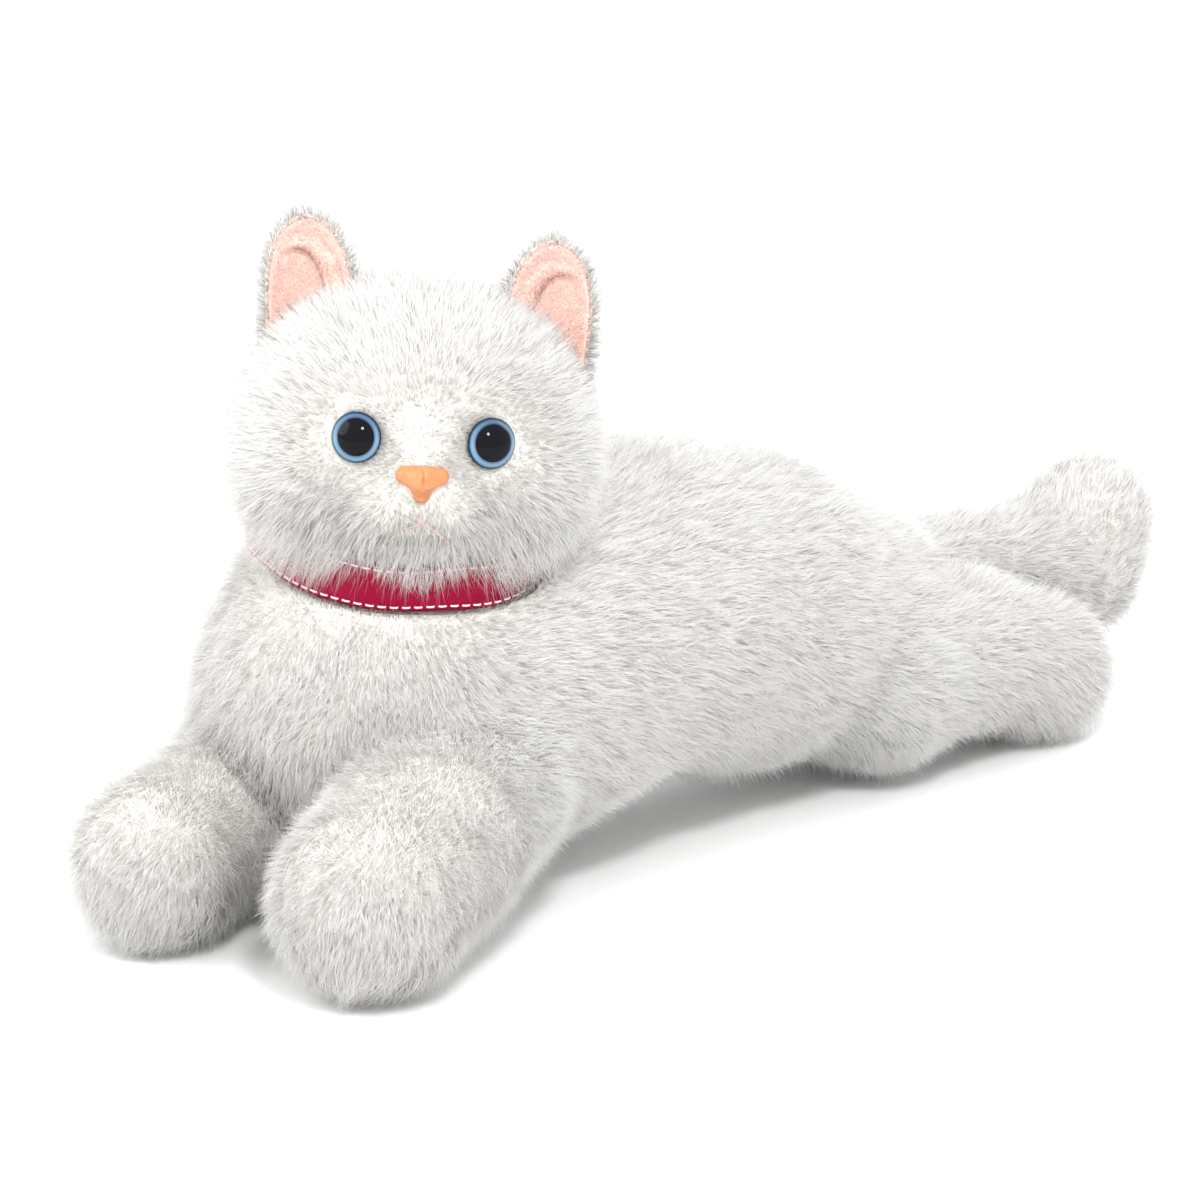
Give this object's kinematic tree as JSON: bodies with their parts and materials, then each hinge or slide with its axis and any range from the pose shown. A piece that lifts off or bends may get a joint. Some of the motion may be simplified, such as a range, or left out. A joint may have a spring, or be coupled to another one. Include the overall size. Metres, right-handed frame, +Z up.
{
  "type": "plush cat",
  "caption": "Soft stuffed cat lying on its belly, long white pile, pink-lined ears, round plastic eyes and a ribbon collar.",
  "frame": {"origin": "on the floor, at the middle of the cat's outline seen from above", "axes": "+Z up, body runs back along +Y, cat's left is +X, head turned 46 degrees to its left"},
  "size_m": [0.147, 0.4178, 0.2044],
  "materials": {
    "white_fur": "long soft pile",
    "polyester_stuffing": "loose fibre",
    "pellet_cloth": "woven",
    "ear_velboa": "short pile",
    "satin_ribbon": "satin",
    "white_thread": "thread",
    "mouth_thread": "thread",
    "eye_clear": "clear gloss",
    "eye_blue": "gloss",
    "eye_black": "gloss",
    "washer_plastic": "matte",
    "nose_orange": "satin"
  },
  "bodies": {
    "torso": {"torso_belly_panel": "white_fur", "torso_left_panel": "white_fur", "torso_right_panel": "white_fur", "torso_stuffing": "polyester_stuffing", "torso_pellet_bag": "pellet_cloth"},
    "collar": {"collar_ribbon": "satin_ribbon", "collar_edge_stitching": "white_thread"},
    "neck": {"neck_stuffing": "polyester_stuffing"},
    "head": {"head_face_panel": "white_fur", "head_back_left_panel": "white_fur", "head_back_right_panel": "white_fur", "head_stuffing": "polyester_stuffing", "nose_button": "nose_orange", "nose_washer": "washer_plastic", "mouth_stitching": "mouth_thread", "left_eye_lens": "eye_clear", "left_eye_iris": "eye_blue", "left_eye_pupil_base": "eye_black", "left_eye_washer": "washer_plastic", "right_eye_lens": "eye_clear", "right_eye_iris": "eye_blue", "right_eye_pupil_base": "eye_black", "right_eye_washer": "washer_plastic"},
    "left_ear": {"left_ear_back": "white_fur", "left_ear_lining": "ear_velboa"},
    "right_ear": {"right_ear_back": "white_fur", "right_ear_lining": "ear_velboa"},
    "tail": {"tail_left_panel": "white_fur", "tail_right_panel": "white_fur", "tail_stuffing": "polyester_stuffing"},
    "left_front_leg": {"left_front_leg_outer_panel": "white_fur", "left_front_leg_inner_panel": "white_fur", "left_front_leg_stuffing": "polyester_stuffing"},
    "right_front_leg": {"right_front_leg_outer_panel": "white_fur", "right_front_leg_inner_panel": "white_fur", "right_front_leg_stuffing": "polyester_stuffing"},
    "left_hind_leg": {"left_hind_leg_outer_panel": "white_fur", "left_hind_leg_inner_panel": "white_fur", "left_hind_leg_stuffing": "polyester_stuffing"},
    "right_hind_leg": {"right_hind_leg_outer_panel": "white_fur", "right_hind_leg_inner_panel": "white_fur", "right_hind_leg_stuffing": "polyester_stuffing"}
  },
  "joints": [
    {"name": "collar_turn", "type": "hinge", "parent": "torso", "child": "collar", "pos_m": [-0.0125, -0.0919, 0.142], "axis": [0.1712, -0.0731, 0.9825], "range_deg": [-40, 40]},
    {"name": "head_turn", "type": "hinge", "parent": "torso", "child": "neck", "pos_m": [-0.0125, -0.0919, 0.142], "axis": [0.1712, -0.0731, 0.9825], "range_deg": [-30, 30]},
    {"name": "head_nod", "type": "hinge", "parent": "neck", "child": "head", "pos_m": [-0.0125, -0.0919, 0.142], "axis": [0.6999, 0.7108, -0.0691], "range_deg": [-12, 18]},
    {"name": "left_ear_fold", "type": "hinge", "parent": "head", "child": "left_ear", "pos_m": [0.01312, -0.06075, 0.17202], "axis": [0.5839, 0.4708, -0.6614], "range_deg": [-12, 14]},
    {"name": "right_ear_fold", "type": "hinge", "parent": "head", "child": "right_ear", "pos_m": [-0.03479, -0.1082, 0.18269], "axis": [0.5979, 0.6986, 0.3929], "range_deg": [-12, 14]},
    {"name": "left_front_leg_lift", "type": "hinge", "parent": "torso", "child": "left_front_leg", "pos_m": [0.0265, -0.1099, 0.041], "axis": [-1, 0, 0], "range_deg": [0, 16]},
    {"name": "right_front_leg_lift", "type": "hinge", "parent": "torso", "child": "right_front_leg", "pos_m": [-0.0445, -0.1139, 0.0385], "axis": [-1, 0, 0], "range_deg": [0, 16]},
    {"name": "left_hind_leg_spread", "type": "hinge", "parent": "torso", "child": "left_hind_leg", "pos_m": [0.0365, 0.0721, 0.033], "axis": [0, 0, -1], "range_deg": [0, 20]},
    {"name": "right_hind_leg_spread", "type": "hinge", "parent": "torso", "child": "right_hind_leg", "pos_m": [-0.0315, 0.0821, 0.033], "axis": [0, 0, 1], "range_deg": [0, 20]},
    {"name": "tail_lift", "type": "hinge", "parent": "torso", "child": "tail", "pos_m": [0.0132, 0.1045, 0.0644], "axis": [1, 0, 0], "range_deg": [0, 25]}
  ]
}
